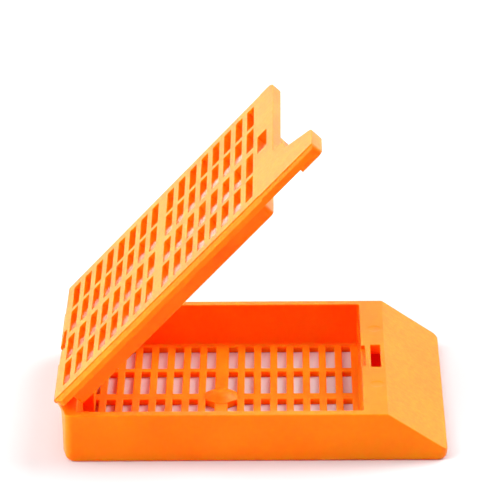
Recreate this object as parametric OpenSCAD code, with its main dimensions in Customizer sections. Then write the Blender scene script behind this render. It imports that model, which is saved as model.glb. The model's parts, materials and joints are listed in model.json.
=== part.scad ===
// Tissue cassette: a slotted chamber with a sloped writing face and a slotted
// snap lid on a living hinge, moulded in one piece.
// X runs from the hinge to the writing end, Y across, Z up. The origin lies on
// the underside, below the middle of the slotted floor.

/* [Body] */
// Width over the side walls at the rim
width = 28.5; // [26:0.1:32]
// Length from the fold line to the front lip
body_l = 41.3; // [40:0.1:46]
// Height of the rim over the underside
body_h = 5.5; // [4.5:0.1:8]
// Thickness of the side walls at the rim
wall = 1.05; // [0.8:0.05:1.4]
// How far each outer wall leans in on its way down
outer_draft = 0.15; // [0.05:0.05:0.3]
// How far each chamber wall leans in on its way down
inner_draft = 0.12; // [0.05:0.05:0.2]
// Radius of the rear upright corners
rear_corner_r = 0.9; // [0.5:0.1:1.2]
// Radius of the front upright corners
front_corner_r = 0.8; // [0.4:0.1:1.5]
// Radius of the two bottom cross edges
bottom_r = 0.6; // [0.3:0.1:0.9]

/* [Writing end] */
// Length of the slope, measured along X
slope_l = 6.3; // [4.5:0.1:8]
// Height of the lip at the foot of the slope
lip_h = 1.2; // [1:0.1:2]
// Flat deck between the chamber and the slope
deck_l = 2.55; // [2.4:0.05:3.5]
// Skin of the hollow writing end
ramp_wall = 1.1; // [0.8:0.05:1.4]
// Wall between the chamber and the hollow writing end
front_wall = 0.75; // [0.6:0.05:0.9]
// Radius of the two shallow pits in the deck
pit_r = 0.8; // [0.4:0.1:1]
// Distance of each pit from the middle
pit_y = 6.9; // [4.5:0.1:10]
// Depth of the pits in the deck and the tab
pit_depth = 0.08; // [0.04:0.01:0.2]

/* [Slotted floor] */
// Thickness of the floor
floor_t = 0.68; // [0.5:0.02:1]
// Cross rows of slots on each side of the middle bar
half_rows = 8; // [4:1:8]
// Bar between the last floor slots and the chamber's ends
end_bar = 0.83; // [0.5:0.01:1.5]
// Opening of a floor slot along X
floor_slot = 1.0; // [0.8:0.05:1.1]
// Width of the middle cross bar
cross_bar = 1.44; // [1.2:0.05:1.8]
// Width of the bar down the middle
spine = 1.42; // [1.2:0.02:1.8]
// Width of the two bars beside the inner slots
rib = 0.88; // [0.7:0.02:1.2]
// Length of a slot along Y
slot_l = 5.4; // [4.8:0.1:5.5]
// Radius of the raised boss in the middle of the floor
boss_r = 1.1; // [0.8:0.05:1.2]
// Height of the boss over the floor
boss_h = 0.6; // [0.3:0.05:1]

/* [Lid] */
// Angle between the lid and the rim
lid_open = 47; // [0:1:170]
// Thickness of the lid plate
lid_t = 1.15; // [0.9:0.05:1.5]
// How far the lid's front edge stands past the start of the slope
lid_past = 0.05; // [0:0.05:0.4]
// Bar between the last lid slots and the chamber's ends
lid_end_bar = 0.36; // [0.3:0.01:1.2]
// Opening of a lid slot along X
lid_slot = 1.06; // [0.8:0.02:1.1]
// Depth of the skirt that enters the chamber
skirt_depth = 1.6; // [0.8:0.1:2]
// Thickness of the skirt at its root
skirt_t = 0.5; // [0.4:0.05:0.6]
// Gap between the skirt and the chamber walls
skirt_clear = 0.12; // [0.08:0.02:0.2]
// Radius of the skirt's outer corners
skirt_r = 0.6; // [0.3:0.1:0.9]
// Gap between the closed lid and the rim
lid_gap = 0.05; // [0.03:0.01:0.1]
// Bevel along the lid's outer long edges
edge_bevel = 0.4; // [0.2:0.05:0.45]
// Bevel along the same edges past the skirt, out to the tab
tab_bevel = 0.25; // [0.1:0.01:0.3]
// Step between the lid's face and the bevels
edge_step = 0.08; // [0.04:0.01:0.12]

/* [Finger tab] */
// How far the tab stands out from the lid's front edge
tab_reach = 5.85; // [5.2:0.05:9]
// Width of the tab's end
tab_w = 4.2; // [3:0.1:6]
// Width of the tab at the foot of its slant
tab_foot_w = 6.3; // [6.2:0.1:6.8]
// Width of the low step beside the slant
tab_step_w = 8.5; // [7.5:0.1:9]
// How far the low step stands out from the lid's front edge
tab_step_l = 1.7; // [1:0.1:2.5]
// Length of the thicker grip at the tab's end
grip_l = 2.9; // [2:0.1:3.5]
// Extra thickness of the grip
grip_t = 0.28; // [0.1:0.02:0.5]
// Radius of the two corners at the tab's end
tab_end_r = 0.55; // [0.3:0.05:1]
// Radius of the round pit under the tab
tab_pit_r = 1.5; // [1:0.1:1.6]

/* [Latches] */
// Width of the slot in the deck
latch_slot_w = 5.5; // [5:0.1:7]
// Opening of the slot in the deck along X
latch_slot = 1.1; // [1:0.05:1.2]
// Width of the two hooks under the lid
hook_w = 3.8; // [3:0.1:4.2]
// Depth of the front hook under the lid
front_hook_depth = 1.85; // [1.6:0.05:2]
// Depth of the rear claw under the lid
claw_depth = 1.35; // [1.2:0.05:1.4]
// Radius about the fold line of the bar that the claw turns around
claw_bar_r = 1.8; // [1.7:0.05:1.9]
// Gap between each hook and what it catches
latch_clear = 0.05; // [0.03:0.01:0.08]
// Width of the rear shaft in the body
shaft_w = 5.2; // [4.8:0.1:6]
// Walls at the two sides of the rear shaft
shaft_wall = 0.8; // [0.6:0.05:1]
// Wall between the rear shaft and the chamber
shaft_front_wall = 0.5; // [0.4:0.05:0.8]
// Width of the two windows in the lid
window_w = 4.6; // [4.5:0.1:5]

/* [Living hinge] */
// Length of the hinge across the cassette
hinge_l = 21.2; // [16:0.1:24]
// Thickness of the web
web_t = 0.3; // [0.2:0.02:0.4]
// Bevel that thins the body down to the web
web_relief = 0.45; // [0.3:0.05:0.6]
// Length of the slant that thins the lid's face down to the web
lid_slant = 1.4; // [0.6:0.1:1.8]
// Half the width of the web between body and lid
web_half = 0.05; // [0.03:0.01:0.08]
// How far the rear corners stand back from the fold line
notch_depth = 1.0; // [0.7:0.05:1.2]
// Depth of the shallow channel over the rear latch
channel_depth = 0.2; // [0.1:0.05:0.25]

/* [Hidden] */
$fn = 48;

past = 1;                                   // how far a cut runs past a face
graze = 0.001;                              // share of a corner's radius by which its arc crosses the sides
half_w = width / 2;
deck_x = body_l - slope_l;                  // where the slope starts
chamber_front = deck_x - deck_l;            // chamber wall at the rim
chamber_rear = 2.2;
chamber_half_w = half_w - wall;
chamber_half_l = (chamber_front - chamber_rear) / 2;
grid_x = chamber_rear + chamber_half_l - 0.12;        // middle of both slot fields
row_run = chamber_half_l - cross_bar / 2;             // room for the rows on each side
floor_pitch = (row_run - end_bar - floor_slot) / (half_rows - 1);
lid_pitch = (row_run - lid_end_bar - lid_slot) / (half_rows - 1);
lid_l = deck_x + lid_past;                  // fold line to the lid's front edge
tab_l = lid_l + tab_reach;
hollow_x = chamber_front + front_wall;      // rear of the hollow writing end
latch_x = hollow_x + 0.25;                  // rear edge of the deck slot
shaft_front = 3.05;
shaft_rear = 1.15;
claw_r = claw_bar_r + latch_clear;          // inner face of the claw
claw_back = 2.6;
skirt_half_w = chamber_half_w - skirt_clear;
skirt_rear = chamber_rear + skirt_clear;
skirt_front = chamber_front - skirt_clear;
hinge_half = hinge_l / 2;
notch_y = half_w - 1.15;                    // where the notch meets the corner
frame_half_w = shaft_w / 2 + shaft_wall;    // shaft with its side walls
channel_half_w = frame_half_w - 0.05;
plastic = "darkorange";

function unit(v) = v / norm(v);

// The sliver between a corner of an outline and the arc that rounds it.
module corner_sliver(corner, before, after, r) {
    a = unit(before - corner);
    b = unit(after - corner);
    half_angle = acos(a * b) / 2;
    touch_a = corner + a * r / tan(half_angle);
    touch_b = corner + b * r / tan(half_angle);
    centre = corner + unit(a + b) * r * (1 - graze) / sin(half_angle);
    reach = 0.2;
    difference() {
        polygon([
            centre,
            touch_a + unit(touch_a - centre) * reach,
            corner + unit(corner - centre) * 2 * reach,
            touch_b + unit(touch_b - centre) * reach
        ]);
        translate(centre) circle(r);
    }
}

// An outline, counter-clockwise, whose corners have the given radii.
module rounded(points, radii) {
    n = len(points);
    function turn(i) = cross(
        points[i] - points[(i + n - 1) % n],
        points[(i + 1) % n] - points[i]
    );
    module slivers(side) {
        for (i = [0 : n - 1])
            if (radii[i] > 0 && turn(i) * side > 0)
                corner_sliver(points[i], points[(i + n - 1) % n], points[(i + 1) % n], radii[i]);
    }
    difference() {
        union() {
            polygon(points);
            slivers(-1);
        }
        slivers(1);
    }
}

// An XZ profile run across the cassette from -half to half.
module across(half) {
    rotate([90, 0, 0])
        linear_extrude(2 * half, center = true)
            children();
}

// A YZ profile run along the cassette from x0 to x1.
module along(x0, x1) {
    translate([x0, 0, 0])
        rotate([90, 0, 90])
            linear_extrude(x1 - x0)
                children();
}

// A box centred on Y.
module bar(x0, x1, half, z0, z1) {
    translate([x0, -half, z0])
        cube([x1 - x0, 2 * half, z1 - z0]);
}

// Cross rows of slots either side of the middle bar, four slots to a row.
module slot_field(pitch, slot, z0, z1) {
    for (row = [0 : half_rows - 1], side = [-1, 1])
        for (y = [-1, 1] * spine / 2, second = [0, 1])
            translate([
                grid_x + side * (cross_bar / 2 + slot / 2 + row * pitch),
                y + sign(y) * (slot_l / 2 + second * (slot_l + rib)),
                (z0 + z1) / 2
            ])
                cube([slot, slot_l, z1 - z0], center = true);
}

// ---- Body with the specimen chamber and the writing end ----

// Side outline, from the underside up to the rim and down the slope.
module base_side() {
    rounded(
        [
            [web_half + web_relief + outer_draft, 0],
            [body_l - outer_draft, 0],
            [body_l, lip_h],
            [deck_x, body_h],
            [web_half, body_h],
            [web_half, body_h - web_t],
            [web_half + web_relief, body_h - web_t - web_relief]
        ],
        [bottom_r, bottom_r, 0.25, 0, 0, 0, 0]
    );
}

// Plan outline, with the notched rear corners either side of the hinge.
module base_plan() {
    rounded(
        [
            [web_half, -hinge_half],
            [notch_depth - 0.1, -notch_y],
            [notch_depth, -half_w],
            [body_l, -half_w],
            [body_l, half_w],
            [notch_depth, half_w],
            [notch_depth - 0.1, notch_y],
            [web_half, hinge_half]
        ],
        [0, 0, rear_corner_r, front_corner_r, front_corner_r, rear_corner_r, 0, 0]
    );
}

module base_envelope() {
    lean = outer_draft;
    intersection() {
        across(half_w + past) base_side();
        translate([0, 0, -past])
            linear_extrude(body_h + 2 * past)
                base_plan();
        along(-past, body_l + past)
            rounded(
                [
                    [-half_w + lean, 0],
                    [half_w - lean, 0],
                    [half_w, body_h],
                    [-half_w, body_h]
                ],
                [bottom_r / 2, bottom_r / 2, 0, 0]
            );
    }
}

// The drafted chamber, from the floor up through the rim.
module chamber() {
    lean = inner_draft;
    top = body_h + past;
    spread = lean * past / (body_h - floor_t);
    intersection() {
        across(half_w)
            polygon([
                [chamber_rear + lean, floor_t],
                [chamber_front - lean, floor_t],
                [chamber_front + spread, top],
                [chamber_rear - spread, top]
            ]);
        along(0, body_l)
            polygon([
                [-chamber_half_w + lean, floor_t],
                [chamber_half_w - lean, floor_t],
                [chamber_half_w + spread, top],
                [-chamber_half_w - spread, top]
            ]);
    }
}

// The hollow under the deck and the slope, open below.
module ramp_hollow() {
    fall = (body_h - lip_h) / slope_l;
    drop = ramp_wall * sqrt(1 + fall * fall);
    ceiling = body_h - ramp_wall;
    front = body_l - 1.7 * ramp_wall;
    function under(x) = body_h - drop - (x - deck_x) * fall;
    knee = deck_x + (body_h - drop - ceiling) / fall;
    across(half_w - ramp_wall - outer_draft)
        polygon([
            [hollow_x, -past],
            [front, -past],
            [front, under(front)],
            [knee, ceiling],
            [hollow_x, ceiling]
        ]);
}

// Gusset and low dome where the two middle bars cross.
module boss() {
    rise = boss_h * 0.6;
    cap = boss_h - rise;
    dome_r = (boss_r * boss_r + cap * cap) / (2 * cap);
    translate([grid_x, 0, floor_t]) {
        intersection() {
            cylinder(r1 = boss_r + 0.9, r2 = boss_r, h = rise);
            linear_extrude(rise) gusset_outline();
        }
        intersection() {
            translate([0, 0, boss_h - dome_r]) sphere(dome_r);
            translate([0, 0, rise - 0.01]) cylinder(r = boss_r, h = boss_h);
        }
    }
}

module gusset_outline() {
    flat_x = 0.92;
    flat_y = 0.45;
    reach_x = cross_bar / 2 + floor_slot;
    reach_y = 1.88;
    polygon([
        [reach_x, -flat_x], [reach_x, flat_x], [flat_y, reach_y], [-flat_y, reach_y],
        [-reach_x, flat_x], [-reach_x, -flat_x], [-flat_y, -reach_y], [flat_y, -reach_y]
    ]);
}

// Slots of the floor, kept clear of the boss and of the shaft's frame.
module floor_slots() {
    difference() {
        slot_field(floor_pitch, floor_slot, -past, floor_t + past);
        translate([grid_x, 0, -2 * past])
            linear_extrude(floor_t + 4 * past)
                gusset_outline();
        bar(0, shaft_front + shaft_front_wall, frame_half_w, -2 * past, floor_t + 2 * past);
    }
}

// Frame around the rear shaft that takes the lid's claw.
module shaft_frame() {
    bar(chamber_rear - 0.5, shaft_front + shaft_front_wall, frame_half_w, floor_t / 2, body_h - channel_depth);
}

// The shaft, with the round-faced bar left standing behind it.
module shaft() {
    difference() {
        bar(shaft_rear, shaft_front, shaft_w / 2, -past, body_h + past);
        translate([0, 0, body_h])
            rotate([90, 0, 0])
                cylinder(r = claw_bar_r, h = width, center = true, $fn = 96);
    }
}

module base() {
    color(plastic)
        difference() {
            union() {
                difference() {
                    base_envelope();
                    chamber();
                }
                shaft_frame();
                boss();
            }
            floor_slots();
            shaft();
            bar(web_half + web_t, chamber_rear + 0.1, channel_half_w, body_h - channel_depth, body_h + past);
            ramp_hollow();
            bar(latch_x, latch_x + latch_slot, latch_slot_w / 2, floor_t, body_h + past);
            bar(chamber_front - 0.5, chamber_front + 0.42, latch_slot_w / 2 - 0.2, body_h - 0.45, body_h + past);
            for (y = [-pit_y, pit_y])
                translate([latch_x + latch_slot / 2, y, body_h - pit_depth])
                    cylinder(r = pit_r, h = past);
        }
}

// ---- Lid, drawn closed with the fold line at the origin ----

// Plan outline with the finger tab on the near side.
module lid_plan() {
    step_x = lid_l + tab_step_l;
    rounded(
        [
            [web_half, -hinge_half],
            [notch_depth, -notch_y],
            [notch_depth + 0.3, -half_w],
            [tab_l, -half_w],
            [tab_l, -half_w + tab_w],
            [step_x, -half_w + tab_foot_w],
            [step_x, -half_w + tab_step_w],
            [lid_l, -half_w + tab_step_w],
            [lid_l, half_w],
            [notch_depth + 0.3, half_w],
            [notch_depth, notch_y],
            [web_half, hinge_half]
        ],
        [0, 0, rear_corner_r, tab_end_r, tab_end_r, 0.8, 0.9, 0, 0.9, rear_corner_r, 0, 0]
    );
}

// Plate and grip share one side outline, trimmed to the plan.
module lid_plate() {
    top = lid_gap + lid_t;
    end = tab_l + past;
    intersection() {
        translate([0, 0, -past])
            linear_extrude(lid_t + 2 * past)
                lid_plan();
        across(half_w + past)
            polygon([
                [web_half, lid_gap],
                [tab_l - grip_l, lid_gap],
                [tab_l - grip_l, -grip_t],
                [end, -grip_t],
                [end, top],
                [web_half + lid_slant, top],
                [web_half, web_t]
            ]);
    }
}

// Stepped bevels along the long outer edges, wide as far as the skirt's
// front and narrow from there to the tab's end.
module edge_bevels() {
    foot = lid_gap + lid_t - edge_step;
    module bevel(x0, x1, size) {
        for (side = [-1, 1])
            along(x0, x1)
                polygon([
                    [side * (half_w + past), foot - size - past],
                    [side * (half_w - size), foot],
                    [side * (half_w - size), foot + past],
                    [side * (half_w + past), foot + past]
                ]);
    }
    wide_end = skirt_front + 0.6;
    bevel(-past, wide_end, edge_bevel);
    bevel(wide_end - 0.1, tab_l + past, tab_bevel);
}

// Ring that drops into the chamber, leaning in towards its free edge.
module skirt() {
    lean = 0.1;
    low = -skirt_depth;
    inner_x0 = skirt_rear + skirt_t;
    inner_x1 = skirt_front - skirt_t;
    inner_y = skirt_half_w - skirt_t;
    difference() {
        intersection() {
            across(half_w)
                polygon([
                    [skirt_rear + lean, low], [skirt_front - lean, low],
                    [skirt_front, lid_gap + 0.1], [skirt_rear, lid_gap + 0.1]
                ]);
            along(0, lid_l)
                polygon([
                    [-skirt_half_w + lean, low], [skirt_half_w - lean, low],
                    [skirt_half_w, lid_gap + 0.1], [-skirt_half_w, lid_gap + 0.1]
                ]);
            translate([0, 0, low - past])
                linear_extrude(skirt_depth + 2 * past)
                    rounded(
                        [
                            [skirt_rear, -skirt_half_w], [skirt_front, -skirt_half_w],
                            [skirt_front, skirt_half_w], [skirt_rear, skirt_half_w]
                        ],
                        [skirt_r, skirt_r, skirt_r, skirt_r]
                    );
        }
        bar(inner_x0, inner_x1, inner_y, low - past, past);
        bar(0, shaft_front + shaft_front_wall + 0.3, frame_half_w + 0.4, low - past, past);
    }
}

// Front hook: a stem through the deck slot with a head that points back.
module front_hook() {
    stem_front = latch_x + latch_slot - latch_clear - 0.08;
    stem_rear = stem_front - 0.45;
    head = latch_x + latch_clear;
    across(hook_w / 2)
        rounded(
            [
                [stem_rear, lid_gap + 0.1],
                [stem_rear, -front_hook_depth + 0.7],
                [head, -front_hook_depth + 0.55],
                [head + 0.15, -front_hook_depth],
                [stem_front - 0.1, -front_hook_depth],
                [stem_front, -front_hook_depth + 0.25],
                [stem_front, lid_gap + 0.1]
            ],
            [0, 0, 0.12, 0.12, 0.08, 0, 0]
        );
}

// Rear claw: its inner face is round about the fold line, so it swings
// under the bar of the body's rear shaft.
module rear_claw() {
    difference() {
        bar(0, claw_back, hook_w / 2, -claw_depth, lid_gap + 0.1);
        rotate([90, 0, 0])
            cylinder(r = claw_r, h = width, center = true, $fn = 96);
        bar(0, claw_r + 0.1, hook_w, -0.45, lid_gap + past);
        along(0, claw_back + past)
            for (side = [-1, 1])
                translate([side * hook_w / 2, -claw_depth])
                    rotate(45)
                        square(0.5, center = true);
    }
}

// The slots stop at the skirt, which covers the outer part of the end rows.
module lid_closed() {
    rear_window = claw_r + 0.15;
    front_window = latch_x + latch_slot - latch_clear - 0.53;
    difference() {
        union() {
            difference() {
                lid_plate();
                slot_field(lid_pitch, lid_slot, -past, lid_t + past);
            }
            skirt();
        }
        bar(-past, rear_window, window_w / 2, -past, lid_t + past);
        bar(front_window - 1.4, front_window, window_w / 2, -past, lid_t + past);
        bar(web_half + web_t, 1.9, channel_half_w, 0, lid_gap + channel_depth);
        edge_bevels();
        translate([lid_l - 0.2, -half_w + 4, -past])
            cylinder(r = tab_pit_r, h = past + lid_gap + pit_depth);
    }
    front_hook();
    rear_claw();
}

module lid() {
    color(plastic)
        translate([0, 0, body_h])
            rotate([0, -lid_open, 0])
                lid_closed();
}

// ---- Living hinge, bent around the fold line ----

// Cross-section in XZ about the fold line: a stub on the body's side, a
// stub on the lid's side and the bent skin between them.
module web_section() {
    bend = 180 - lid_open;
    far = 4 * web_t;
    intersection() {
        circle(web_t);
        polygon([
            for (i = [0 : 4])
                i == 0 ? [0, 0] : far * [cos(-90 - (i - 1) * bend / 3), sin(-90 - (i - 1) * bend / 3)]
        ]);
    }
    translate([0, -web_t]) square([web_half, web_t]);
    rotate(lid_open) square([web_half, web_t]);
}

module hinge_web() {
    color(plastic)
        translate([0, 0, body_h])
            for (side = [-1, 1])
                translate([0, side * (window_w / 2 + hinge_half) / 2, 0])
                    across((hinge_half - window_w / 2) / 2)
                        web_section();
}

module in_frame() {
    translate([-grid_x, 0, 0]) children();
}

in_frame() base();
in_frame() lid();
in_frame() hinge_web();
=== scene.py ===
import json
import math

import bmesh
import bpy
from mathutils import Matrix, Vector


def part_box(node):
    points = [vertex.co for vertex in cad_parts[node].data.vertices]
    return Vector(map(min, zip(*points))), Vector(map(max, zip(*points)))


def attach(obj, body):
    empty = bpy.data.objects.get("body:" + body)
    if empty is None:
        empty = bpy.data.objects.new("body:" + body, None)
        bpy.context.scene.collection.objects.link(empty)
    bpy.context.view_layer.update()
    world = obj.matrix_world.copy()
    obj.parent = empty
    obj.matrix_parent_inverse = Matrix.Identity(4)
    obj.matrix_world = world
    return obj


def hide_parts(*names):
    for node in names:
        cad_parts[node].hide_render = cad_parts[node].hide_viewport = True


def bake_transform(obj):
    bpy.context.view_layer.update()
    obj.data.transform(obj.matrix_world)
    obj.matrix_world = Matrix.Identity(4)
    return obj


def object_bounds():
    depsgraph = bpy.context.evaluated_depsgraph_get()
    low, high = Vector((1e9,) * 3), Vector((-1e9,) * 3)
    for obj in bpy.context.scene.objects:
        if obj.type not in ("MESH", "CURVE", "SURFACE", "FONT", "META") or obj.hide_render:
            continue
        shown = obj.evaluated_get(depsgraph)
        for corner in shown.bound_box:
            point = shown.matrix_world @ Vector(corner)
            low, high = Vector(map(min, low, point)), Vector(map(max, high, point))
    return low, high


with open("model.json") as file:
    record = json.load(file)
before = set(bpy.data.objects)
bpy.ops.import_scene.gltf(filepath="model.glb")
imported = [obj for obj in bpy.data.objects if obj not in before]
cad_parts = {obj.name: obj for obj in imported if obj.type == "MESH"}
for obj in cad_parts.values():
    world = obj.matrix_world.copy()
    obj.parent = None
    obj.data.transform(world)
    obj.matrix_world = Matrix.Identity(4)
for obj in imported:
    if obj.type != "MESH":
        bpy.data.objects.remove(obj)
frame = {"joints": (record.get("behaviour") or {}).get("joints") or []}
cad_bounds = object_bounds()

# ---- Base: outer block ----
# A tray and a sloped writing end, moulded as one block of orange acetal. Its
# walls lean in on the way down so that it leaves the mould, its corners are
# rounded, and at the hinge it thins down to the web.
mm = 0.001
hinge = next(joint for joint in frame["joints"] if joint["name"] == "lid_hinge")
fold = Vector(hinge["pos_m"])
base_high = Vector(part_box("base")[1]) / mm
half_w = base_high.y
rim = base_high.z
length = 41.3  # fold line to the front lip
slope_l = 6.3
lip_h = 1.2
deck_x = length - slope_l
wall_lean = 0.15
rear_corner_r = 0.9
front_corner_r = 0.8
bottom_r = 0.6
top_r = 0.14
side_r = 0.3
fall = (rim - lip_h) / slope_l  # how steeply the writing end slopes
web_half = 0.05
web_t = 0.3
web_relief = 0.45
hinge_half = 10.6
notch_y = half_w - 1.15
notch_depth = 0.85
past = 1.0  # how far a mould core runs past a face


def rounded(points, radii, steps=5):
    """Points of an outline, with each corner turned into an arc of its radius."""
    outline = []
    for i, corner in enumerate(Vector(point) for point in points):
        if radii[i] == 0:
            outline.append(corner)
            continue
        back = (Vector(points[i - 1]) - corner).normalized()
        ahead = (Vector(points[(i + 1) % len(points)]) - corner).normalized()
        half = back.angle(ahead) / 2
        centre = corner + (back + ahead).normalized() * radii[i] / math.sin(half)
        start = corner + back * radii[i] / math.tan(half) - centre
        end = corner + ahead * radii[i] / math.tan(half) - centre
        sweep = math.pi - 2 * half
        for step in range(steps + 1):
            turn = sweep * step / steps
            spoke = start * math.sin(sweep - turn) + end * math.sin(turn)
            outline.append(centre + spoke / math.sin(sweep))
    return outline


def loft(name, rings):
    """A closed skin through rings of as many points each, capped at both ends."""
    bm = bmesh.new()
    loops = [[bm.verts.new(point) for point in ring] for ring in rings]
    for near, far in zip(loops, loops[1:]):
        for i in range(len(near)):
            bm.faces.new((near[i - 1], near[i], far[i], far[i - 1]))
    bm.faces.new(loops[0])
    bm.faces.new(loops[-1])
    bmesh.ops.remove_doubles(bm, verts=bm.verts, dist=0.0005)
    bmesh.ops.recalc_face_normals(bm, faces=bm.faces)
    mesh = bpy.data.meshes.new(name)
    bm.to_mesh(mesh)
    bm.free()
    form = bpy.data.objects.new(name, mesh)
    bpy.context.collection.objects.link(form)
    return form


def round_off(depth, r):
    """How far a rounded edge stands back at a given depth below its face."""
    return r - math.sqrt(max(r * r - (r - depth) ** 2, 0)) if depth < r else 0.0


def rear_end(y):
    """X of the plan outline at the hinge end: web, slanted notch, round corner."""
    if y <= hinge_half:
        return web_half
    if y <= notch_y:
        return web_half + notch_depth * (y - hinge_half) / (notch_y - hinge_half)
    return web_half + notch_depth + round_off(half_w - y, rear_corner_r)


def side_section(y):
    """The block's XZ section at a distance y from the middle."""
    tilt = math.atan(fall)
    top_trim = round_off(half_w - y, top_r)
    bottom_trim = round_off(half_w - y, side_r)
    rear = rear_end(y)
    nose = length - round_off(half_w - y, front_corner_r)
    corners = [
        (max(rear, web_half + web_relief + wall_lean), bottom_trim),
        (nose - wall_lean, bottom_trim),
        (nose, rim - (nose - deck_x) * fall - top_trim / math.cos(tilt)),
        (deck_x - top_trim * math.tan(tilt / 2), rim - top_trim),
        (rear, rim - top_trim),
        (rear, rim - web_t),
        (max(rear, web_half + web_relief), rim - web_t - web_relief),
    ]
    return rounded(corners, [bottom_r, bottom_r, 0.22, 0.3, 0.06, 0, 0])


def outer_block():
    turns = [math.radians(90 * step / 10) for step in range(11)]
    reaches = [hinge_half, 11.4, 12.3]
    reaches += [half_w - rear_corner_r + rear_corner_r * math.sin(turn) for turn in turns]
    rings = []
    for y in [-y for y in reversed(reaches)] + reaches:
        lean = wall_lean / half_w
        section = side_section(abs(y))
        rings.append([(p.x, y * (1 - lean * (1 - p.y / rim)), p.y) for p in section])
    return loft("base_form", rings)


base = outer_block()

# ---- Base: chamber, floor slots and rear shaft ----
# The chamber is the print of a drafted core in the same acetal. Its floor has
# two fields of slots either side of a wide cross bar, four slots to a row,
# with rounded upper edges so that fluids drain.
chamber_rear = 2.2
chamber_front = 32.45
chamber_half_w = half_w - 1.05
chamber_lean = 0.12
floor_t = 0.68
rows = 8
cross_bar = 1.44
spine = 1.42
rib = 0.88
slot_l = 5.4
floor_slot = 1.0
chamber_half_l = (chamber_front - chamber_rear) / 2
grid_x = chamber_rear + chamber_half_l - 0.12
row_run = chamber_half_l - cross_bar / 2
slot_corner_r = 0.1


def acetal(name, grain, grain_depth, mottle, rough=0.36):
    """Orange acetal: satin, a little translucent, with faint flow marks and a
    fine mould grain. The grain's size and depth are in millimetres, mottle goes
    from 0 to 1, and rough is the lowest roughness."""
    orange = (0.95, 0.175, 0.0015, 1)
    pale_orange = (0.98, 0.275, 0.004, 1)
    red_glow = (1.0, 0.06, 0.002, 1)
    warm_sheen = (1.0, 0.5, 0.12, 1)
    glow_share = 0.6
    material = bpy.data.materials.new(name)
    material.use_nodes = True
    nodes = material.node_tree.nodes
    link = material.node_tree.links.new
    skin = nodes["Principled BSDF"]
    skin.inputs["Subsurface Weight"].default_value = 1.0
    skin.inputs["Subsurface Radius"].default_value = (1.0, 0.1, 0.03)
    skin.inputs["Subsurface Scale"].default_value = 2.2 * mm
    skin.inputs["IOR"].default_value = 1.48
    skin.inputs["Specular Tint"].default_value = warm_sheen
    place = nodes.new("ShaderNodeTexCoord")

    def noise(size, detail):
        """Soft noise, its size in millimetres."""
        node = nodes.new("ShaderNodeTexNoise")
        node.inputs["Scale"].default_value = 1 / (size * mm)
        node.inputs["Detail"].default_value = detail
        link(place.outputs["Object"], node.inputs["Vector"])
        return node.outputs["Fac"]

    # Flow marks as broad clouds, with a finer speckle over them.
    clouds = nodes.new("ShaderNodeMix")
    clouds.inputs["Factor"].default_value = mottle
    link(noise(9, 3), clouds.inputs["A"])
    link(noise(0.55, 2), clouds.inputs["B"])
    spread = nodes.new("ShaderNodeMapRange")
    spread.inputs["From Min"].default_value = 0.25
    spread.inputs["From Max"].default_value = 0.75
    link(clouds.outputs["Result"], spread.inputs["Value"])
    tint = nodes.new("ShaderNodeMix")
    tint.data_type = "RGBA"
    tint.inputs["A"].default_value = orange
    tint.inputs["B"].default_value = pale_orange
    link(spread.outputs["Result"], tint.inputs["Factor"])
    link(tint.outputs["Result"], skin.inputs["Base Color"])

    # The grain left by the mould's steel.
    fine = noise(grain, 2)
    shine = nodes.new("ShaderNodeMapRange")
    shine.inputs["To Min"].default_value = rough
    shine.inputs["To Max"].default_value = rough + 0.14
    link(fine, shine.inputs["Value"])
    link(shine.outputs["Result"], skin.inputs["Roughness"])
    relief = nodes.new("ShaderNodeBump")
    relief.inputs["Strength"].default_value = 0.5
    relief.inputs["Distance"].default_value = grain_depth * mm
    link(fine, relief.inputs["Height"])
    link(relief.outputs["Normal"], skin.inputs["Normal"])

    # Light that has bounced inside comes through the thin walls too.
    glow = nodes.new("ShaderNodeBsdfTranslucent")
    glow.inputs["Color"].default_value = red_glow
    bounce = nodes.new("ShaderNodeLightPath")
    share = nodes.new("ShaderNodeMapRange")
    share.inputs["From Max"].default_value = 1
    share.inputs["To Max"].default_value = glow_share
    link(bounce.outputs["Diffuse Depth"], share.inputs["Value"])
    whole = nodes.new("ShaderNodeMixShader")
    link(share.outputs["Result"], whole.inputs["Fac"])
    link(skin.outputs["BSDF"], whole.inputs[1])
    link(glow.outputs["BSDF"], whole.inputs[2])
    link(whole.outputs["Shader"], nodes["Material Output"].inputs["Surface"])
    return material


satin = acetal("satin_acetal", grain=0.25, grain_depth=0.01, mottle=0.25)


def plan(x0, x1, half, r, out=0.0):
    """A rounded rectangle across the cassette, grown by out all round."""
    r = max(r + out, 0.02)
    x0, x1, half = x0 - out, x1 + out, half + out
    return rounded([(x0, -half), (x1, -half), (x1, half), (x0, half)], [r] * 4, steps=4)


def quarter(r, steps=3):
    """Depth and set-back of the points along a rounded edge."""
    turns = [math.radians(90 * step / steps) for step in range(steps + 1)]
    return [(r - r * math.sin(turn), r - r * math.cos(turn)) for turn in turns]


def core(name, rect, low, high, flare_low=0.0, flare_high=0.0):
    """A mould core through a wall from z=low to z=high, flared by the rounded
    edges that it leaves at either face."""
    levels = [(low - past, flare_low)]
    levels += [(low + depth, out) for depth, out in reversed(quarter(flare_low))]
    levels += [(high - depth, out) for depth, out in quarter(flare_high)]
    levels += [(high + past, flare_high)]
    return loft(name, [[(p.x, p.y, z) for p in plan(*rect, out)] for z, out in levels])


def combine(piece, tool, operation):
    """Joins a closed form to a piece, or cuts it away."""
    modifier = piece.modifiers.new(operation, "BOOLEAN")
    modifier.operation = operation
    modifier.solver = "MANIFOLD"
    modifier.object = tool


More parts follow.
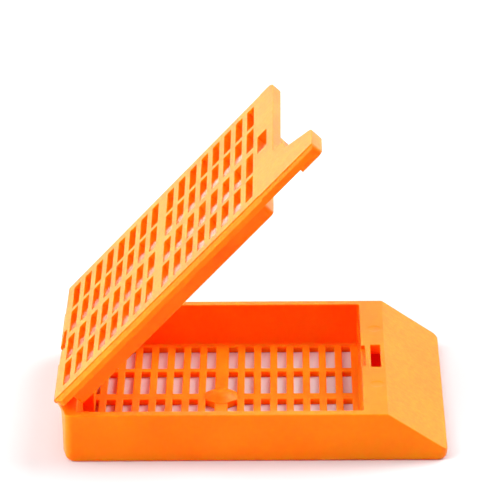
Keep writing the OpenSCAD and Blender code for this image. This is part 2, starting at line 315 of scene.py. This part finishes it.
def settle(piece):
    """Turns a piece with its modifiers into a plain mesh."""
    bpy.context.view_layer.update()
    evaluated = piece.evaluated_get(bpy.context.evaluated_depsgraph_get())
    mesh = bpy.data.meshes.new_from_object(evaluated)
    tools = [m.object for m in piece.modifiers if m.type == "BOOLEAN"]
    piece.modifiers.clear()
    piece.data = mesh
    for tool in tools:
        bpy.data.objects.remove(tool)


def chamber_core():
    rect = (chamber_rear, chamber_front, chamber_half_w, 0.3)
    levels = [(floor_t + out, -chamber_lean - depth) for depth, out in quarter(0.2)]
    levels += [(rim - depth, out) for depth, out in quarter(0.1)]
    levels += [(rim + past, 0.1)]
    return loft("chamber_core", [[(p.x, p.y, z) for p in plan(*rect, out)] for z, out in levels])


def slot_rows_tree():
    """Sets a core at every slot of the two fields and cuts them from a plate."""
    tree = bpy.data.node_groups.new("slot_rows", "GeometryNodeTree")
    for name, kind in [
        ("Plate", "Geometry"), ("Core", "Object"), ("Rows on each side", "Int"),
        ("First row", "Float"), ("Row pitch", "Float"), ("First column", "Float"),
        ("Column pitch", "Float"), ("Middle", "Float"), ("Finish", "Material"),
    ]:
        tree.interface.new_socket(name, in_out="INPUT", socket_type="NodeSocket" + kind)
    tree.interface.new_socket("Slotted plate", in_out="OUTPUT", socket_type="NodeSocketGeometry")
    given = tree.nodes.new("NodeGroupInput").outputs

    def math_node(operation, first, second=0.0):
        node = tree.nodes.new("ShaderNodeMath")
        node.operation = operation
        for socket, value in zip(node.inputs, (first, second)):
            if isinstance(value, (int, float)):
                socket.default_value = value
            else:
                tree.links.new(value, socket)
        return node.outputs[0]

    def pushed_out(along_axis, first, pitch):
        """Moves the even spacing of the grid out to the first row."""
        push = math_node("SUBTRACT", first, math_node("MULTIPLY", pitch, 0.5))
        return math_node("MULTIPLY", math_node("SIGN", along_axis), push)

    across_count = math_node("MULTIPLY", given["Rows on each side"], 2)
    grid = tree.nodes.new("GeometryNodeMeshGrid")
    grid.inputs["Vertices Y"].default_value = 4
    tree.links.new(across_count, grid.inputs["Vertices X"])
    run = math_node("MULTIPLY", math_node("SUBTRACT", across_count, 1), given["Row pitch"])
    tree.links.new(run, grid.inputs["Size X"])
    tree.links.new(math_node("MULTIPLY", given["Column pitch"], 3), grid.inputs["Size Y"])

    spot = tree.nodes.new("ShaderNodeSeparateXYZ")
    tree.links.new(tree.nodes.new("GeometryNodeInputPosition").outputs[0], spot.inputs[0])
    shift = tree.nodes.new("ShaderNodeCombineXYZ")
    row_shift = pushed_out(spot.outputs["X"], given["First row"], given["Row pitch"])
    tree.links.new(math_node("ADD", row_shift, given["Middle"]), shift.inputs["X"])
    column_shift = pushed_out(spot.outputs["Y"], given["First column"], given["Column pitch"])
    tree.links.new(column_shift, shift.inputs["Y"])
    spread = tree.nodes.new("GeometryNodeSetPosition")
    tree.links.new(grid.outputs["Mesh"], spread.inputs["Geometry"])
    tree.links.new(shift.outputs[0], spread.inputs["Offset"])

    info = tree.nodes.new("GeometryNodeObjectInfo")
    tree.links.new(given["Core"], info.inputs["Object"])
    place = tree.nodes.new("GeometryNodeInstanceOnPoints")
    tree.links.new(spread.outputs["Geometry"], place.inputs["Points"])
    tree.links.new(info.outputs["Geometry"], place.inputs["Instance"])
    real = tree.nodes.new("GeometryNodeRealizeInstances")
    tree.links.new(place.outputs["Instances"], real.inputs[0])
    cut = tree.nodes.new("GeometryNodeMeshBoolean")
    cut.operation = "DIFFERENCE"
    cut.solver = "MANIFOLD"
    tree.links.new(given["Plate"], cut.inputs["Mesh 1"])
    tree.links.new(real.outputs[0], cut.inputs["Mesh 2"])
    finish = tree.nodes.new("GeometryNodeSetMaterial")
    tree.links.new(cut.outputs["Mesh"], finish.inputs["Geometry"])
    tree.links.new(given["Finish"], finish.inputs["Material"])
    tree.links.new(finish.outputs[0], tree.nodes.new("NodeGroupOutput").inputs[0])
    return tree


slot_rows = slot_rows_tree()


def cut_slots(plate, slot_core, slot, pitch):
    """Runs the slot tree on a plate and keeps its result as a plain mesh."""
    sizes = {
        "Core": slot_core,
        "Rows on each side": rows,
        "First row": (cross_bar + slot) / 2,
        "Row pitch": pitch,
        "First column": (spine + slot_l) / 2,
        "Column pitch": slot_l + rib,
        "Middle": grid_x,
        "Finish": satin,
    }
    modifier = plate.modifiers.new("slots", "NODES")
    modifier.node_group = slot_rows
    for item in slot_rows.interface.items_tree:
        if item.name in sizes:
            modifier[item.identifier] = sizes[item.name]
    settle(plate)
    bpy.data.objects.remove(slot_core)


def across(name, outline, half):
    """An XZ outline run across the cassette from -half to half."""
    return loft(name, [[(p.x, y, p.y) for p in outline] for y in (-half, half)])


def post(name, rect, low, high, edge=0.0):
    """A solid block over a rounded rectangle, its upper edges rounded."""
    levels = [(low, 0.0)] + [(high - depth, -out) for depth, out in quarter(edge)]
    return loft(name, [[(p.x, p.y, z) for p in plan(*rect, out)] for z, out in levels])


def turned(name, profile, x, y, sides=48):
    """A form turned about an upright axis, from its radii and heights."""
    turns = [2 * math.pi * side / sides for side in range(sides)]
    return loft(name, [
        [(x + r * math.cos(turn), y + r * math.sin(turn), z) for turn in turns] for r, z in profile
    ])


def gusset():
    """Octagon where the middle bars cross, rising in slants to a low dome."""
    boss_r = 1.1
    dome_foot = floor_t + 0.36
    dome_rise = 0.24
    dome_r = (boss_r ** 2 + dome_rise ** 2) / (2 * dome_rise)
    profile = [(2.0, 0.02), (2.0, floor_t), (boss_r + 0.03, dome_foot - 0.03)]
    for share in (1, 0.96, 0.85, 0.65, 0.45, 0.25, 0.02):
        r = boss_r * share
        profile.append((r, dome_foot + dome_rise - dome_r + math.sqrt(dome_r ** 2 - r ** 2)))
    dome = turned("boss_form", profile, grid_x, 0)
    x, y = cross_bar / 2 + floor_slot, 1.88
    flat_x, flat_y = 0.92, 0.45
    corners = [
        (x, -flat_x), (x, flat_x), (flat_y, y), (-flat_y, y),
        (-x, flat_x), (-x, -flat_x), (-flat_y, -y), (flat_y, -y),
    ]
    octagon = rounded([(grid_x + cx, cy) for cx, cy in corners], [0.15] * 8, steps=3)
    mask = loft("gusset_outline", [[(p.x, p.y, z) for p in octagon] for z in (0, 2)])
    combine(dome, mask, "INTERSECT")
    settle(dome)
    return dome


shaft_front = 3.05
shaft_half = 2.6
frame_half = shaft_half + 0.8
claw_bar_r = 1.8


def shaft_core():
    """The rear shaft. Its hinge side is round about the fold line, so that the
    lid's claw can swing under the bar that is left."""
    shaft_rear = 1.15
    top = 1.0
    down = math.acos(shaft_rear / claw_bar_r)
    up = math.asin(top / claw_bar_r)
    arc = [up - (up + down) * step / 12 for step in range(13)]
    outline = [Vector((shaft_rear, -past)), Vector((shaft_front, -past))]
    outline += [Vector((shaft_front, rim + top))]
    for turn in arc:
        outline.append(Vector((claw_bar_r * math.cos(turn), rim + claw_bar_r * math.sin(turn))))
    return across("shaft_core", outline, shaft_half)


combine(base, chamber_core(), "DIFFERENCE")
settle(base)
floor_rect = (-floor_slot / 2, floor_slot / 2, slot_l / 2, slot_corner_r)
floor_core = core("floor_slot_core", floor_rect, 0, floor_t, flare_low=0.05, flare_high=0.1)
floor_end = 0.83  # plain floor past the last row
floor_pitch = (row_run - floor_end - floor_slot) / (rows - 1)
cut_slots(base, floor_core, floor_slot, floor_pitch)
combine(base, gusset(), "UNION")
shaft_frame = (chamber_rear - 0.5, shaft_front + 0.5, frame_half, 0.15)
combine(base, post("shaft_frame", shaft_frame, 0.02, rim - 0.2, 0.1), "UNION")
settle(base)
combine(base, shaft_core(), "DIFFERENCE")
channel = (web_half + web_t, chamber_rear + 0.1, frame_half - 0.05, 0.1)
combine(base, post("channel_core", channel, rim - 0.2, rim + past), "DIFFERENCE")

# ---- Base: writing end ----
# A hollow block moulded with the tray, open below, its slope grained to take
# pencil. Its deck has the slot for the lid's front hook and two shallow pits,
# and the wall before it has a relief notch.
pencil_grain = acetal("pencil_grain_acetal", grain=0.2, grain_depth=0.05, mottle=0.7, rough=0.52)
front_wall = 0.75
skin = 1.1
hollow_x = chamber_front + front_wall
latch_x = hollow_x + 0.25
latch_slot = 1.1
latch_half = 2.75


def hollow_core():
    drop = skin * math.hypot(1, fall)
    ceiling = rim - skin
    front = length - 1.7 * skin
    corners = [
        (hollow_x, -past),
        (front, -past),
        (front, rim - drop - (front - deck_x) * fall),
        (deck_x + (rim - drop - ceiling) / fall, ceiling),
        (hollow_x, ceiling),
    ]
    outline = rounded(corners, [0, 0, 0.3, 0.5, 0.3])
    return across("hollow_core", outline, half_w - skin - wall_lean)


def pit_core(x, y):
    depth = 0.06
    profile = [(0.5, rim - depth), (0.7, rim - depth * 0.7), (0.86, rim), (0.86, rim + past)]
    return turned("pit_core", profile, x, y, sides=32)


combine(base, hollow_core(), "DIFFERENCE")
latch_rect = (latch_x, latch_x + latch_slot, latch_half, 0.15)
latch_core = core("latch_slot_core", latch_rect, floor_t + past, rim, flare_high=0.07)
combine(base, latch_core, "DIFFERENCE")
notch = (chamber_front - 0.5, chamber_front + 0.42, latch_half - 0.2, 0.12)
notch_core = core("notch_core", notch, rim - 0.45 + past, rim, flare_high=0.05)
combine(base, notch_core, "DIFFERENCE")
for side in (-1, 1):
    combine(base, pit_core(latch_x + latch_slot / 2, side * 6.9), "DIFFERENCE")
settle(base)


def into_row(piece, lift, turn=0.0):
    """From millimetres about the fold line to metres in the cassette's frame."""
    swing = Matrix.Translation(fold) @ Matrix.Rotation(-turn, 4, "Y")
    piece.data.transform(swing @ Matrix.Scale(mm, 4) @ Matrix.Translation((0, 0, -lift)))


def smooth(piece):
    """Soft shading over the rounded edges, and flat faces that stay flat."""
    piece.data.shade_smooth()
    piece.data.set_sharp_from_angle(angle=math.radians(42))
    weights = piece.modifiers.new("weights", "WEIGHTED_NORMAL")
    weights.keep_sharp = True


into_row(base, rim)
base.name = "cassette_base"
base.data.materials.clear()
for finish in (satin, pencil_grain):
    base.data.materials.append(finish)
slope_facing = Vector((rim - lip_h, 0, slope_l)).normalized()
for face in base.data.polygons:
    face.material_index = int(face.normal.dot(slope_facing) > 0.99)
smooth(base)
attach(base, "base")
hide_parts("base")

# ---- Lid ----
# A slotted plate with a finger tab, moulded with the body. Stepped bevels run
# along its long edges and a skirt below drops into the chamber. Its face is
# matt, and polished mould pins leave bright walls in the slots.
matt_face = acetal("matt_face_acetal", grain=0.3, grain_depth=0.02, mottle=0.5)
polished_slot = acetal("polished_slot_acetal", grain=0.4, grain_depth=0.003, mottle=0.2, rough=0.1)
lid_gap = 0.05
lid_t = 1.15
top = lid_gap + lid_t
lid_l = deck_x + 0.05
tab_l = lid_l + 5.85
tab_w = 4.2
tab_foot_w = 6.3
tab_step_w = 8.5
step_x = lid_l + 1.7
lid_slot = 1.06
skirt_depth = 1.6
skirt_t = 0.5
skirt_clear = 0.12
skirt_rear = chamber_rear + skirt_clear
skirt_front = chamber_front - skirt_clear
skirt_half = chamber_half_w - skirt_clear
bevel_step = 0.14


def inset(outline, distance):
    """An outline moved inwards, each point along the bisector of its corner."""
    moved = []
    for i, point in enumerate(outline):
        before = (point - outline[i - 1]).normalized()
        after = (outline[(i + 1) % len(outline)] - point).normalized()
        inward = Vector((-before.y - after.y, before.x + after.x)).normalized()
        moved.append(point + inward * distance / inward.dot(Vector((-before.y, before.x))))
    return moved


def slab(name, outline, low, high, edge_low=0.0, edge_high=0.0):
    """A plate over any outline, with rounded lower and upper edges."""
    levels = [(low + out, depth) for depth, out in quarter(edge_low)]
    levels += [(high - depth, out) for depth, out in quarter(edge_high)]
    return loft(name, [[(p.x, p.y, z) for p in inset(outline, back)] for z, back in levels])


def along(name, outline, x0, x1):
    """A YZ outline run along the cassette."""
    return loft(name, [[(x, p[0], p[1]) for p in outline] for x in (x0, x1)])


lid_outline = rounded(
    [
        (web_half, -hinge_half), (1.0, -notch_y), (1.3, -half_w),
        (tab_l, -half_w), (tab_l, tab_w - half_w), (step_x, tab_foot_w - half_w),
        (step_x, tab_step_w - half_w), (lid_l, tab_step_w - half_w), (lid_l, half_w),
        (1.3, half_w), (1.0, notch_y), (web_half, hinge_half),
    ],
    [0, 0, rear_corner_r, 0.55, 0.8, 0.8, 0.9, 0.15, 1.4, rear_corner_r, 0, 0],
    steps=8,
)
lid = slab("lid_form", lid_outline, lid_gap, top, edge_low=0.05, edge_high=0.06)


def bevel_core(side, x0, x1, size):
    """The step and bevel along one long edge."""
    foot = top - bevel_step
    edge = side * half_w
    inner = side * (half_w - size)
    outer = side * (half_w + past)
    return along(
        "bevel_core",
        [(outer, foot - size - past), (inner, foot), (inner, top + past), (outer, top + past)],
        x0,
        x1,
    )


wide_end = skirt_front + 0.6
wide_bevel = 0.4
narrow_bevel = 0.25
for side in (-1, 1):
    combine(lid, bevel_core(side, -past, wide_end, wide_bevel), "DIFFERENCE")
    combine(lid, bevel_core(side, wide_end - 0.1, tab_l + past, narrow_bevel), "DIFFERENCE")
slant = Vector((1.4, top - web_t))
hinge_end = Vector((web_half, web_t))
thinned = [hinge_end, hinge_end + 1.5 * slant]
thinned += [Vector((-past, top + slant.y / 2)), Vector((-past, web_t))]
combine(lid, across("hinge_slant_core", thinned, half_w + past), "DIFFERENCE")
settle(lid)
lid_rect = (-lid_slot / 2, lid_slot / 2, slot_l / 2, slot_corner_r)
lid_core = core("lid_slot_core", lid_rect, lid_gap, top, flare_low=0.05, flare_high=0.05)
lid_end = 0.36  # plain plate past the last row
lid_pitch = (row_run - lid_end - lid_slot) / (rows - 1)
cut_slots(lid, lid_core, lid_slot, lid_pitch)


def skirt():
    """A ring with round corners, open round the claw, leaning in as it drops."""
    low = -skirt_depth
    rect = (skirt_rear, skirt_front, skirt_half, 0.6)
    lean = 0.1
    levels = [(low + out, -lean - depth) for depth, out in quarter(0.12)]
    levels += [(lid_gap + 0.1, 0.0)]
    ring = loft("skirt_form", [[(p.x, p.y, z) for p in plan(*rect, out)] for z, out in levels])
    inner = (skirt_rear + skirt_t, skirt_front - skirt_t, skirt_half - skirt_t, 0.1)
    combine(ring, core("skirt_core", inner, low, past, flare_low=0.1), "DIFFERENCE")
    claw_gap = (0, shaft_front + 0.8, frame_half + 0.4, 0.1)
    combine(ring, core("claw_gap_core", claw_gap, low, past), "DIFFERENCE")
    settle(ring)
    return ring


def grip():
    """The thicker pad under the tab's end."""
    back_x = tab_l - 2.9
    slant = (tab_foot_w - tab_w) / (tab_l - step_x)
    corners = [
        (back_x, -half_w), (tab_l, -half_w), (tab_l, tab_w - half_w),
        (back_x, tab_w - half_w + (tab_l - back_x) * slant),
    ]
    outline = inset(rounded(corners, [0.05, 0.55, 0.8, 0.05], steps=8), 0.004)
    return slab("grip_form", outline, -0.28, 0.5, edge_low=0.06)


combine(lid, skirt(), "UNION")
combine(lid, grip(), "UNION")
settle(lid)
claw_r = claw_bar_r + 0.05
window_half = 2.3
stem_front = latch_x + latch_slot - 0.13
stem_rear = stem_front - 0.45
rear_window = (-past, claw_r + 0.15, window_half, 0.15)
front_window = (stem_rear + 0.05 - 1.4, stem_rear + 0.05, window_half, 0.15)
for rect in (rear_window, front_window):
    window_core = core("window_core", rect, lid_gap, top, flare_low=0.04, flare_high=0.05)
    combine(lid, window_core, "DIFFERENCE")
lid_channel = (web_half + web_t, 1.9, frame_half - 0.05, 0.1)
combine(lid, post("lid_channel_core", lid_channel, -past, lid_gap + 0.2), "DIFFERENCE")
pit = [(1.54, -past), (1.54, lid_gap), (1.5, lid_gap + 0.04), (1.46, lid_gap + 0.08)]
combine(lid, turned("tab_pit_core", pit, lid_l - 0.2, 4 - half_w), "DIFFERENCE")
settle(lid)

# ---- Lid: front hook and rear claw ----
# Two snap hooks moulded under the lid. The front one hangs from the edge of its
# window with its head pointing back. The claw's inner face is round about the
# fold line, so that it swings under its bar.
hook_half = 1.9
hook_edge_r = 0.06


def hook_form(name, outline):
    """A hook's outline run across the lid, its side edges rounded."""
    edge = quarter(hook_edge_r)
    levels = sorted((side * (hook_half - depth), back) for side in (-1, 1) for depth, back in edge)
    return loft(name, [[(p.x, y, p.y) for p in inset(outline, back)] for y, back in levels])


def front_hook():
    head = latch_x + 0.05
    low = -1.85
    corners = [
        (stem_rear, lid_gap + 0.3), (stem_rear, low + 0.7), (head, low + 0.55),
        (head + 0.15, low), (stem_front - 0.1, low), (stem_front, low + 0.25),
        (stem_front, lid_gap + 0.3),
    ]
    return hook_form("front_hook", rounded(corners, [0, 0.1, 0.12, 0.12, 0.08, 0.1, 0]))


def rear_claw():
    low = -1.35
    step = -0.45
    start = math.asin(low / claw_r)
    end = math.asin(step / claw_r)
    arc = [start + (end - start) * turn / 8 for turn in range(9)]
    outline = [Vector((claw_r * math.cos(turn), claw_r * math.sin(turn))) for turn in arc]
    outline += [Vector((claw_r + 0.1, step)), Vector((claw_r + 0.1, lid_gap + 0.3))]
    outline += [Vector((2.6, lid_gap + 0.3)), Vector((2.6, low + 0.1)), Vector((2.5, low))]
    return hook_form("rear_claw", outline[::-1])


combine(lid, front_hook(), "UNION")
combine(lid, rear_claw(), "UNION")
settle(lid)
lid_open = -math.radians(hinge["range_deg"][0])
into_row(lid, 0, lid_open)
lid.name = "cassette_lid"
lid.data.materials.clear()
for finish in (satin, matt_face, polished_slot):
    lid.data.materials.append(finish)
lid_normal = Vector((-math.sin(lid_open), 0, math.cos(lid_open)))
lid_run = Vector((math.cos(lid_open), 0, math.sin(lid_open)))
slack = 0.06
slots_half_l = cross_bar / 2 + lid_slot + (rows - 1) * lid_pitch + slack
slots_half_w = spine / 2 + 2 * slot_l + rib + slack
for face in lid.data.polygons:
    from_fold = (face.center - fold) / mm
    tilt = face.normal.dot(lid_normal)
    in_slot = (
        abs(from_fold.dot(lid_run) - grid_x) < slots_half_l
        and abs(from_fold.y) < slots_half_w
        and lid_gap < from_fold.dot(lid_normal) < top
    )
    if tilt > 0.99:
        face.material_index = 1
    else:
        face.material_index = 2 if in_slot and abs(tilt) < 0.5 else 0
smooth(lid)
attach(lid, "lid")
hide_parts("lid")

# ---- Living hinge ----
# Two thin strips of the same moulding join body and lid either side of the
# windows. They bend round the fold line, and are all that holds the lid.
def hinge_strip(side):
    """A bent strip, its two ends let into the body and the lid."""
    stub = 0.1
    core_r = 0.06
    turn_start = -math.pi / 2
    turn_end = lid_open + math.pi / 2 - 2 * math.pi
    turns = [turn_start + (turn_end - turn_start) * step / 12 for step in range(13)]
    along_lid = Vector((math.cos(lid_open), math.sin(lid_open)))
    out_of_lid = Vector((-along_lid.y, along_lid.x))
    outline = [Vector((stub, -web_t))]
    outline += [web_t * Vector((math.cos(turn), math.sin(turn))) for turn in turns]
    outline += [along_lid * stub + out_of_lid * web_t, along_lid * stub + out_of_lid * core_r]
    outline += [Vector((-core_r, 0)), Vector((stub, -core_r))]
    spots = [window_half + (hinge_half - window_half) * step / 6 for step in range(7)]
    return loft("hinge_strip", [[(p.x, side * y, p.y) for p in outline] for y in spots])


web = hinge_strip(-1)
combine(web, hinge_strip(1), "UNION")
settle(web)
into_row(web, 0)
web.name = "living_hinge"
web.data.materials.clear()
web.data.materials.append(satin)
smooth(web)
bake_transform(web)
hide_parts("hinge_web")

# ---- Floor, light and camera ----
# A seamless white table under a broad, even studio light.
floor_mesh = bpy.data.meshes.new("table_top")
under = -0.02 * mm
floor_mesh.from_pydata(
    [(-2, -2, under), (2, -2, under), (2, 2, under), (-2, 2, under)], [], [(0, 1, 2, 3)]
)
table_top = bpy.data.objects.new("table_top", floor_mesh)
bpy.context.collection.objects.link(table_top)
paper = bpy.data.materials.new("white_paper")
paper.use_nodes = True
matt = paper.node_tree.nodes["Principled BSDF"]
matt.inputs["Base Color"].default_value = (0.62, 0.62, 0.62, 1)
matt.inputs["Roughness"].default_value = 0.9
floor_mesh.materials.append(paper)

world = bpy.data.worlds.new("studio")
bpy.context.scene.world = world
world.use_nodes = True
room = world.node_tree.nodes["Background"]
room.inputs["Color"].default_value = (1, 1, 1, 1)
room.inputs["Strength"].default_value = 0.16
bpy.context.scene.view_settings.view_transform = "Standard"


def soft_box(name, place, aim, width, height, watts):
    """A soft round light at a place, turned to face another."""
    light = bpy.data.lights.new(name, "AREA")
    light.shape = "ELLIPSE"
    light.size = width
    light.size_y = height
    light.energy = watts
    lamp = bpy.data.objects.new(name, light)
    lamp.location = place
    lamp.rotation_euler = (Vector(aim) - Vector(place)).to_track_quat("-Z", "Y").to_euler()
    bpy.context.collection.objects.link(lamp)


soft_box("overhead_box", (-0.2, 0.0, 0.8), (0, 0, 0), 0.8, 0.8, 4.0)
soft_box("left_box", (-0.74, -0.2, 0.42), (0, 0, 0), 0.9, 0.9, 12.0)
soft_box("right_box", (0.54, 0.3, 0.56), (0, 0, 0), 0.8, 0.8, 9.8)
soft_box("back_box", (-0.35, 1.2, 0.2), (0, 0, 0.1), 1.8, 0.5, 4.8)
soft_box("low_box", (0.62, 1.16, 0.06), (0, 0, 0.02), 0.9, 0.12, 1.1)

low, high = (Vector(corner) for corner in cad_bounds)
middle = (low + high) / 2
lens = bpy.data.cameras.new("camera")
lens.lens = 262
lens.sensor_width = 36
camera = bpy.data.objects.new("camera", lens)
camera.location = Vector((7.28, -355.6, 177.0)) * mm
aim = (middle - camera.location).to_track_quat("-Z", "Y").to_matrix().to_4x4()
camera.rotation_euler = (aim @ Matrix.Rotation(math.radians(-0.57), 4, "Z")).to_euler()
bpy.context.collection.objects.link(camera)
bpy.context.scene.camera = camera
